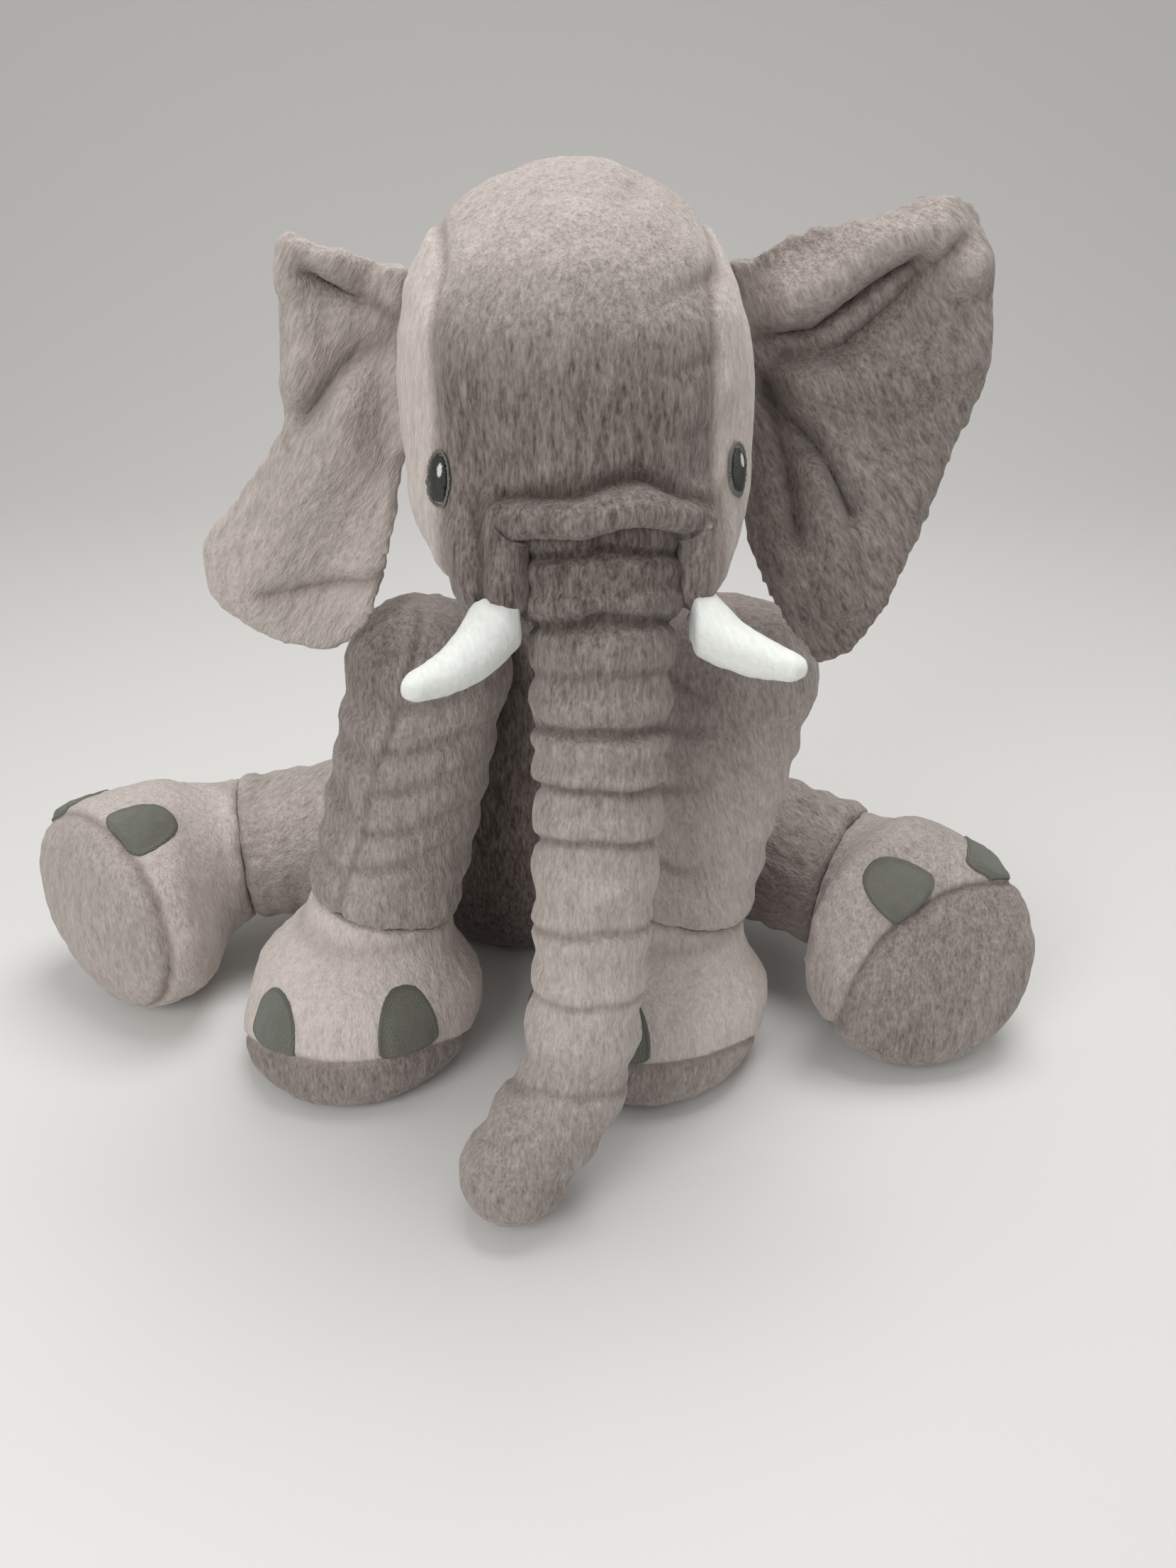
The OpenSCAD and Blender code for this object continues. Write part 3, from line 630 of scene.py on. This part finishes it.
eye_turn = math.radians(38)
pupil_half = (0.0062, 0.0117)
pupil_dome = 0.0022
ring_half = (0.009, 0.0145)
ring_round = 0.011
head_drawn = drawn_tree("head_gusset", "head_left_cheek", "head_right_cheek")
head_skin = skin_tree(head)
eye_black = stitched("eye satin stitch", (46, 54, 47), (14, 18, 16), 420.0, 0.42)
eye_band = stitched("eye band thread", (128, 131, 119), (66, 70, 62), 420.0, 0.6)
for side_name, side in (("left", 1), ("right", -1)):
    faces_out = side * eye_turn + head_turn
    toward = np.array((math.sin(faces_out), -math.cos(faces_out), 0.0))
    across = np.array((-toward[1], toward[0], 0.0))
    for part, thread, slot_name in (("pupil", eye_black, "eye_black"), ("ring", eye_band, "eye_ring")):
        patch = solid_copy(f"{side_name}_eye_{part}_stitching", f"{side_name}_eye_{part}")
        one_skin(patch, 0.0009)
        smooth_skin(patch, 2)
        lay_on(patch, head_drawn, head_skin, eye_lift, toward)
        co = points(patch.data)
        centre = (co.min(0) + co.max(0)) / 2
        off = co - centre
        u, v = off @ across, off[:, 2]
        if part == "pupil":
            dome = np.clip(1 - (u / pupil_half[0]) ** 2 - (v / pupil_half[1]) ** 2, 0, 1)
            put_points(patch.data, co + toward * (dome * pupil_dome)[:, None])
            keep_threads(patch.data, np.stack([v, u, u * 0], 1), np.zeros(len(co)))
            gleam = 1 - ((u - 0.0016) / 0.0021) ** 2 - ((v - 0.0048) / 0.0034) ** 2
            keep(patch.data, "fleck", soft_step(gleam, 0.0, 0.3))
        else:
            angle = np.arctan2(v / ring_half[1], u / ring_half[0])
            keep_threads(patch.data, np.stack([angle * ring_round, u * 0, v * 0], 1), np.zeros(len(co)))
        patch.data.materials.append(thread)
        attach(patch, "head")
        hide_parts(f"{side_name}_eye_{part}")

# ---- tusks ----
# Two stuffed tubes of white velour, curved forward and closed with a rounded end. Each
# is sewn into the muzzle beside the trunk.
velour = pile_cloth(
    "white tusk velour",
    tips=(238, 240, 236),
    roots=(196, 198, 192),
    bumps=(0.3, 0.0008),
    share=0.72,
    clump=260.0,
    Roughness=0.85,
    Specular_IOR_Level=0.2,
    Sheen_Weight=0.2,
)
for side_name in ("left", "right"):
    tusk = solid_copy(f"{side_name}_tusk_velour", f"{side_name}_tusk")
    one_skin(tusk, 0.0026)
    smooth_skin(tusk, 6)
    divide(tusk)
    press_in(tusk, ripple(points(tusk.data), 0.016) * -0.0009)
    raise_pile(tusk, (0.3, -0.6, -0.4), clump=0.004, height=0.0002)
    tusk.data.materials.append(velour)
    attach(tusk, "head")
    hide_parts(f"{side_name}_tusk")

# ---- ears ----
# Each ear is two layers of plush with a thin wadding, turned at the edge and gathered
# into the seam at the back of the cheek. Folds run out from the gathers.
fold_gain = 1.7
ear_padding = 0.0030
# A fold is a line of points across the ear in millimetres, each across and up, and then
# how far in metres it stands forward and how wide it is
ear_settings = {
    "left": {
        "side": 1,
        "rolled_edge": ([(122, 526), (160, 536), (192, 558), (220, 566), (240, 548)], 0.0170, 0.0140),
        "folds": [
            ([(134, 511), (165, 514), (193, 537), (213, 551)], -0.0062, 0.0050),
            ([(150, 500), (181, 503), (209, 528), (231, 556)], -0.0050, 0.0062),
            ([(136, 492), (153, 473), (173, 450), (193, 415)], -0.0072, 0.0060),
            ([(140, 483), (157, 441), (165, 402)], -0.0056, 0.0062),
            ([(165, 487), (213, 485), (243, 500)], 0.0066, 0.0160),
            ([(172, 437), (184, 400), (188, 370)], 0.0060, 0.0110),
            ([(190, 450), (225, 430)], 0.0040, 0.0120),
        ],
    },
    "right": {
        "side": -1,
        "rolled_edge": ([(-48, 538), (-81, 551), (-106, 558), (-112, 545)], 0.0130, 0.0120),
        "folds": [
            ([(-56, 522), (-88, 536), (-106, 546)], -0.0062, 0.0050),
            ([(-66, 516), (-91, 501), (-115, 473)], -0.0060, 0.0070),
            ([(-87, 475), (-127, 418), (-160, 372)], 0.0076, 0.0240),
            ([(-155, 362), (-92, 369), (-63, 392)], -0.0034, 0.0060),
            ([(-110, 520), (-118, 490)], 0.0040, 0.0100),
        ],
    },
}


def line_distance(at, line):
    """How far in metres each point is from a line of points, seen from in front"""
    nearest = np.full(len(at), 1e9)
    line = np.array(line, float) / 1000
    for start, end in zip(line[:-1], line[1:]):
        run = end - start
        share = np.clip(((at - start) @ run) / (run @ run), 0, 1)
        nearest = np.minimum(nearest, np.linalg.norm(at - start - share[:, None] * run, axis=1))
    return nearest


for side_name, ear_set in ear_settings.items():
    ear = solid_copy(f"{side_name}_ear_plush", f"{side_name}_ear_front", f"{side_name}_ear_back")
    one_skin(ear, 0.0038)
    smooth_skin(ear, 5)
    divide(ear)
    root = joint_place[f"{side_name}_ear_flap"]
    co, out = points(ear.data), outward(ear.data)
    off = co - root
    from_seam = soft_step(abs(off[:, 0]), 0.008, 0.028)
    sheet_front = np.array((0.14 * ear_set["side"], -0.99, 0.0))
    facing = (out * sheet_front).sum(1)
    seen_at = co[:, [0, 2]]
    push, fold_shade = np.zeros(len(co)), np.zeros(len(co))
    for line, height, width in ear_set["folds"]:
        near_line = groove(line_distance(seen_at, line), width)
        push += near_line * height * fold_gain
        fold_shade += near_line * (height < 0)
    line, height, width = ear_set["rolled_edge"]
    rolled = groove(line_distance(seen_at, line), width) * soft_step(facing, -0.2, 0.5)
    sway = ripple(co * (1, 0.3, 1), 0.05) * 0.0022
    co = co + sheet_front * ((push + rolled * height + sway) * from_seam)[:, None]
    put_points(ear.data, co)
    smooth_skin(ear, 2)
    # The padding thickens the front sheet only, so the back stays clear of the legs
    press_in(ear, -ear_padding * from_seam * soft_step(facing, -0.3, 0.3))
    # The fold valleys on the front sheet get painted shade. The pile is painted lighter or darker on each
    # ear, partly its own tone and partly painted light and shade: the left ear darker with a lighter
    # rolled edge, the right ear's lobe lighter and its top darker, and the rim seen edge-on lighter.
    lobe = soft_step(-off[:, 2], 0.03, 0.14)
    if side_name == "left":
        ear_tone_and_light = -0.22 - 0.06 * lobe + 0.22 * rolled
    else:
        ear_tone_and_light = 0.08 + 0.15 * lobe - 0.05 * soft_step(off[:, 2], 0.0, 0.06)
    raise_pile(
        ear,
        (0.5 * ear_set["side"], 0, -0.8),
        depth=np.clip(fold_shade * 0.6, 0, 0.8) * (facing > 0.2),
        tone_and_light=ear_tone_and_light + 0.1 * groove(facing, 0.4),
        height=0.0009,
    )
    ear.data.materials.append(plush)
    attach(ear, f"{side_name}_ear")
    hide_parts(f"{side_name}_ear_front", f"{side_name}_ear_back")

# ---- trunk ----
# A long stuffed tube, stitched through at intervals so that it bulges in rings and can
# be curled. One skin is made from the brow to the tip and then cut between the joints
# into lengths that each span a joint.
trunk_bodies = ["trunk_root", "trunk_upper", "trunk_middle", "trunk_lower", "trunk_tip"]
trunk_joints = [joint_place[f"{name}_bend"] for name in trunk_bodies]
trunk_end = np.array((-0.006, -0.335, 0.037))
trunk_stops = trunk_joints + [trunk_end]
trunk_nodes = [f"{name}_{part}" for name in trunk_bodies for part in ("sleeve", "filling")]
trunk = solid_copy("trunk_plush", *trunk_nodes)
one_skin(trunk, 0.0036)
smooth_skin(trunk, 4)
divide(trunk)
co, out = points(trunk.data), outward(trunk.data)
# How high up the trunk each of its stitched lines runs round it, and how deep it is
trunk_lines = [0.434, 0.401, 0.374, 0.344, 0.310, 0.279, 0.224, 0.177, 0.114]
line_depths = [0.0034, 0.0036, 0.0018, 0.0032, 0.0034, 0.0030, 0.0022, 0.0020, 0.0016]
line_width = 0.0032
full_crease = 0.0032
# How pale the pile is at each height: painted light and shade, partly the pile's own
# tone, darkest up under the brow
tone_and_light_heights = [0.0, 0.05, 0.10, 0.17, 0.25, 0.34, 0.42]
tone_and_light_shares = [-0.10, -0.10, -0.04, 0.16, 0.08, -0.16, -0.38]
# The rings hang askew, so each line runs lower at the sides than in front
levels = np.linspace(co[:, 2].min(), co[:, 2].max(), 36)
foremost = [co[abs(co[:, 2] - z) < 0.012, 1].min() for z in levels]
slope = 0.42 * (co[:, 1] - np.interp(co[:, 2], levels, foremost))
wander = 0.0012 * np.sin(co[:, 0] * 70 + co[:, 2] * 31) + 0.0006 * np.sin(co[:, 0] * 190 + 2)
trunk_press = sum(
    groove(co[:, 2] - line + slope + wander, line_width) * depth
    for line, depth in zip(trunk_lines, line_depths)
)
trunk_crease_shade = np.clip(trunk_press / full_crease, 0, 1)
small_folds = np.clip(ripple(co * (0.35, 0.35, 1.5), 0.03), 0, 1)
widen = 0.0055 * soft_step(co[:, 2], 0.372, 0.400) * abs(out[:, 0])
put_points(
    trunk.data,
    co - out * (trunk_press + small_folds * 0.0012 + ripple(co, 0.04) * 0.0012 - widen)[:, None],
)
# The stitched lines and the small folds get painted shade in their hollows
raise_pile(
    trunk,
    hanging_nap,
    depth=np.clip(trunk_crease_shade * 0.8 + small_folds * 0.12, 0, 1),
    tone_and_light=np.interp(co[:, 2], tone_and_light_heights, tone_and_light_shares),
)
trunk.data.materials.append(plush)


# The part of a skin between its cuts, which face away from the part that stays
def length_of(skin, name, cuts):
    joined = bmesh.new()
    joined.from_mesh(skin.data)
    for place, away in cuts:
        bmesh.ops.bisect_plane(
            joined,
            geom=joined.verts[:] + joined.edges[:] + joined.faces[:],
            plane_co=Vector(place),
            plane_no=Vector(away),
            clear_outer=True,
        )
    return piece_of(joined, name, skin.data.materials)


for i, name in enumerate(trunk_bodies):
    above = trunk_joints[i - 1] if i else trunk_joints[0] + (0, 0.02, 0.06)
    here = trunk_joints[i]
    below = trunk_stops[i + 1]
    top_cut, end_cut = (above + here) / 2, (here + below) / 2
    cuts = []
    if i:
        cuts.append((top_cut, above - here))
    if i < len(trunk_bodies) - 1:
        cuts.append((end_cut, below - here))
    piece = length_of(trunk, f"{name}_plush", cuts)
    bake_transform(piece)
    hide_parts(f"{name}_sleeve", f"{name}_filling")
bpy.data.objects.remove(trunk)

# ---- legs ----
# Four stuffed tubes. The front pair hang from the shoulders and are gathered in front,
# one of them along a seam; the hind pair lie forward from the hips along the seat.
front_seam_heights = [0.149, 0.171, 0.201, 0.229, 0.250, 0.277, 0.33]
front_seam_x = [-0.130, -0.123, -0.110, -0.103, -0.097, -0.085, -0.066]
for leg_name in ("front_left", "front_right", "hind_left", "hind_right"):
    body = f"{leg_name}_leg"
    leg = solid_copy(f"{leg_name}_leg_plush", f"{leg_name}_leg_sleeve", f"{leg_name}_leg_filling")
    one_skin(leg, 0.005)
    smooth_skin(leg, 5)
    divide(leg)
    co, out = points(leg.data), outward(leg.data)
    facing = soft_step(-out[:, 1], 0.0, 0.4)
    if leg_name == "front_right":
        across = co[:, 0] - np.interp(co[:, 2], front_seam_heights, front_seam_x)
        seam = groove(across, 0.0028) * facing
        gathers = sum(
            groove(co[:, 2] - z - 0.16 * across, 0.0048) * soft_step(across, -0.002, 0.006)
            for z in (0.178, 0.203, 0.232, 0.260, 0.290)
        ) + sum(
            groove(co[:, 2] - z + 0.30 * across, 0.0055) * soft_step(-across, -0.002, 0.006) * 0.6
            for z in (0.172, 0.214, 0.252, 0.294)
        )
        gathers = gathers * facing * (1 - 0.6 * soft_step(abs(across), 0.02, 0.06))
        crease_shade = np.clip(seam * 0.5 + gathers * 0.45, 0, 1)
        inward = seam * 0.0026 + gathers * 0.0040 + ripple(co, 0.035) * 0.0022
        tone_and_light = -0.03 - 0.16 * soft_step(-across, 0.0, 0.02) - 0.10 * soft_step(co[:, 2], 0.27, 0.33)
        lie = hanging_nap
    elif leg_name == "front_left":
        gathers = sum(
            groove(co[:, 2] - z - tilt * (co[:, 0] - 0.10), 0.0045) * soft_step(0.13 - co[:, 0], 0.0, 0.04)
            for z, tilt in ((0.300, -0.3), (0.272, 0.2), (0.235, 0.45), (0.180, -0.2))
        ) * facing
        crease_shade = np.clip(gathers * 0.55, 0, 1)
        inward = gathers * 0.0036 + ripple(co, 0.035) * 0.0016
        tone_and_light = -0.06 + 0.24 * soft_step(0.30 - co[:, 2], 0, 0.10)
        lie = (0.25, 0, -1)
    else:
        soft_folds = np.clip(ripple(co, 0.03), 0, 1)
        crease_shade, inward = soft_folds * 0.3, soft_folds * 0.0028
        tone_and_light, lean_x = (0.03, -0.4) if leg_name == "hind_right" else (-0.14, 0.4)
        lie = (lean_x, -0.8, 0)
    # The seam and the gathers get painted shade, and each leg's pile is painted lighter or darker, partly
    # its own tone and partly painted light and shade
    press_in(leg, inward)
    raise_pile(leg, lie, depth=crease_shade, tone_and_light=tone_and_light)
    leg.data.materials.append(plush)
    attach(leg, body)
    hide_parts(f"{leg_name}_leg_sleeve", f"{leg_name}_leg_filling")

# ---- feet ----
# Each foot is a short wide drum of plush with a round sole sewn in at its end, stuffed
# until its wall bulges. Two toenails of ribbed knit stand on the sole's seam.
knit = stitched("toenail knit", (134, 135, 124), (72, 74, 68), 330.0, 0.75, 0.001)
# For each foot: its sole's middle and the way up to the ankle, how pale the pile is on
# the wall and on the sole (painted light and shade, partly the pile's own tone), and how
# many degrees the nails are turned about that way up.
# For a hind foot, the seam's middle across and above, its radius and how deep it runs.
foot_settings = {
    "front_left": {
        "sole_at": (0.083, -0.175, 0.0),
        "up": (0, 0, 1),
        "tone_and_light": 0.34,
        "sole_tone_and_light": -0.08,
        "nails_turned": -24,
    },
    "front_right": {
        "sole_at": (-0.131, -0.175, 0.0),
        "up": (0, 0, 1),
        "tone_and_light": 0.38,
        "sole_tone_and_light": -0.20,
    },
    "hind_left": {
        "sole_at": (0.290, -0.196, 0.086),
        "up": (-0.164, 0.923, -0.349),
        "tone_and_light": 0.02,
        "sole_tone_and_light": -0.19,
        "seam": (0.033, -0.047, 0.1065, 0.042),
    },
    "hind_right": {
        "sole_at": (-0.334, -0.138, 0.087),
        "up": (0.621, 0.782, -0.050),
        "tone_and_light": 0.24,
        "sole_tone_and_light": 0.06,
        "seam": (0.0, 0.0, 1.0, 0.010),
    },
}


def seam_side(co, foot_set):
    """How far each point is on the ankle's side of the line where the sole is sewn in"""
    at, up = np.array(foot_set["sole_at"]), np.array(foot_set["up"], float)
    if "seam" not in foot_set:
        line = 0.010 + 0.042 * soft_step(-(co[:, 1] - at[1]), -0.02, 0.082)
        return (co[:, 2] - line) * 0.85
    across = np.cross(up, (0.0, 0.0, 1.0))
    across = across / np.linalg.norm(across)
    above = np.cross(across, up)
    above = above * math.copysign(1, above[2])
    middle_across, middle_above, radius, deep = foot_set["seam"]
    ring = np.hypot((co - at) @ across - middle_across, (co - at) @ above - middle_above) - radius
    return np.maximum(ring, (co - at) @ up - deep)


# Each nail is an arch of knit cloth with a bound rim and a little padding under it, and
# painted shade darkens the rim. It lies on the foot's skin, and the sole's seam cuts it
# off straight.
nail_half, nail_top, nail_foot = 0.0225, 0.0395, 0.0075
nail_rings, nail_spokes = 18, 80
nail_clear = 0.0012


def knit_nails(foot_name, foot_set, skin):
    rings, spokes = nail_rings, nail_spokes
    at, up = np.array(foot_set["sole_at"]), np.array(foot_set["up"], float)
    drawn = points(frame["nodes"][f"{foot_name}_nails"].data) - at
    turned = math.radians(foot_set.get("nails_turned", 0))
    drawn = at + drawn * math.cos(turned) + np.cross(up, drawn) * math.sin(turned) + np.outer(
        (drawn @ up) * (1 - math.cos(turned)), up
    )
    toe = np.array((0.0, 0.0, 1.0)) if "seam" in foot_set else np.array((0.0, -1.0, 0.0))
    toe = toe - up * (toe @ up)
    turn = np.arctan2((drawn - at) @ np.cross(up, toe), (drawn - at) @ toe)
    first = turn < (turn.min() + turn.max()) / 2
    made, faces, threads, rim_shade = [], [], [], []
    for corners in (drawn[first], drawn[~first]):
        centre = corners.mean(0)
        for _ in range(8):
            on_skin, way = (np.array(found) for found in skin.find_nearest(Vector(centre))[:2])
            rise = up - way * (up @ way)
            rise = rise / np.linalg.norm(rise)
            centre = on_skin - rise * (seam_side(on_skin[None], foot_set)[0] - nail_foot) * 0.8
        run = np.cross(rise, way)
        share = np.repeat(np.arange(1, rings + 1) / rings, spokes)
        angle = np.tile(np.arange(spokes) / spokes * 2 * math.pi, rings)
        share, angle = np.append(share, 0.0), np.append(angle, 0.0)
        u = nail_half * share * np.sign(np.cos(angle)) * abs(np.cos(angle)) ** 0.8
        v = share * np.sin(angle)
        v = v * np.where(v > 0, nail_top, nail_foot)
        for _ in range(3):
            flat = centre + np.outer(u, run) + np.outer(v, rise)
            over, back = flat + way * 0.03, Vector(-way)
            on_skin = np.array([
                skin.ray_cast(Vector(high), back, 0.09)[0] or skin.find_nearest(Vector(p))[0]
                for high, p in zip(over, flat)
            ])
            v = v + np.clip(nail_clear - seam_side(on_skin, foot_set), 0, None)
        inside = 1 - share
        lift = (
            -0.0006 + 0.0022 * soft_step(inside, 0.0, 0.05)
            + 0.0022 * soft_step(inside, 0.08, 0.6) + 0.0006 * groove(inside - 0.055, 0.03)
        )
        start = len(made) * (rings * spokes + 1)
        made.append(on_skin + way * lift[:, None])
        threads.append(np.stack([u, v, u * 0], 1))
        rim_shade.append(0.5 * groove(inside - 0.01, 0.05))
        middle = start + rings * spokes
        faces += [(middle, start + i, start + (i + 1) % spokes) for i in range(spokes)]
        for ring in range(rings - 1):
            inner, outer = start + ring * spokes, start + (ring + 1) * spokes
            faces += [
                (inner + i, outer + i, outer + (i + 1) % spokes, inner + (i + 1) % spokes)
                for i in range(spokes)
            ]
    mesh = bpy.data.meshes.new(f"{foot_name}_toenail_knit")
    mesh.from_pydata(np.concatenate(made).tolist(), [], faces)
    keep_threads(mesh, np.concatenate(threads), np.concatenate(rim_shade))
    mesh.materials.append(knit)
    return linked(f"{foot_name}_toenail_knit", mesh)


def part_of(skin, name, wanted):
    """A copy of a skin with only the faces for which wanted is true"""
    joined = bmesh.new()
    joined.from_mesh(skin.data)
    joined.faces.ensure_lookup_table()
    others = [face for face, stays in zip(joined.faces, wanted) if not stays]
    bmesh.ops.delete(joined, geom=others, context="FACES")
    return piece_of(joined, name, skin.data.materials)


wall_height = 0.118
ankle_height = 0.121
sole_reach = 0.088
sole_crown = 0.010
for foot_name, foot_set in foot_settings.items():
    body = f"{foot_name}_leg"
    sole_at, up = np.array(foot_set["sole_at"]), np.array(foot_set["up"], float)
    whole = solid_copy(
        f"{foot_name}_whole", f"{foot_name}_foot_cover", f"{foot_name}_foot_filling", f"{foot_name}_sole"
    )
    one_skin(whole, 0.005)
    smooth_skin(whole, 6)
    co = points(whole.data)
    height = (co - sole_at) @ up
    fill_out(
        whole,
        (abs(seam_side(co, foot_set)) < 0.004) | (height > wall_height) | (co[:, 2] < 0.006),
        cap=0.006,
    )
    divide(whole)
    co, out = points(whole.data), outward(whole.data)
    side = seam_side(co, foot_set)
    height = (co - sole_at) @ up
    seam = groove(side, 0.0026)
    lumps = ripple(co, 0.036)
    co = co - out * (seam * 0.0030 + lumps * 0.0014)[:, None]
    if "seam" in foot_set:
        from_middle = np.linalg.norm((co - sole_at) - np.outer(height, up), axis=1)
        crown = np.clip(1 - (from_middle / sole_reach) ** 2, 0, 1) * soft_step(0.03 - height, 0, 0.02)
        co = co - np.outer(sole_crown * crown, up)
    put_points(whole.data, co)
    # The sole's seam and the crease at the ankle get painted shade
    sole_share = soft_step(-side, -0.001, 0.004)
    raise_pile(
        whole,
        hanging_nap,
        depth=np.clip(seam * 0.75 + 0.35 * groove(height - ankle_height, 0.006), 0, 1),
        tone_and_light=foot_set["tone_and_light"] * (1 - sole_share) + foot_set["sole_tone_and_light"] * sole_share,
    )
    co = points(whole.data)
    co[:, 2] = np.maximum(co[:, 2], 0.0)
    put_points(whole.data, co)
    whole.data.materials.append(plush)

    nails = knit_nails(foot_name, foot_set, skin_tree(whole))
    on_sole = seam_side(numbers(whole.data.polygons, "center").astype(float), foot_set) < 0
    foot = part_of(whole, f"{foot_name}_foot_plush", ~on_sole)
    sole = part_of(whole, f"{foot_name}_sole_plush", on_sole)
    bpy.data.objects.remove(whole)
    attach(foot, body)
    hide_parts(f"{foot_name}_foot_cover", f"{foot_name}_foot_filling")
    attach(sole, body)
    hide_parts(f"{foot_name}_sole")
    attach(nails, body)
    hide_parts(f"{foot_name}_nails")

# ---- tail ----
# A thin tube of plush sewn into the back seam, with a tuft of longer pile at its end.
tail = solid_copy("tail_plush", "tail_cord")
one_skin(tail, 0.002)
smooth_skin(tail, 3)
raise_pile(tail, hanging_nap, clump=0.005, height=0.0007, tone_and_light=-0.05)
tail.data.materials.append(plush)
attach(tail, "tail")
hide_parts("tail_cord")
tuft = solid_copy("tail_tuft_plush", "tail_tuft")
one_skin(tuft, 0.0018)
smooth_skin(tuft, 2)
raise_pile(tuft, (0, 0.3, -1), clump=0.0045, height=0.0022, tone_and_light=-0.15)
tuft.data.materials.append(plush)
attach(tuft, "tail")
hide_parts("tail_tuft")
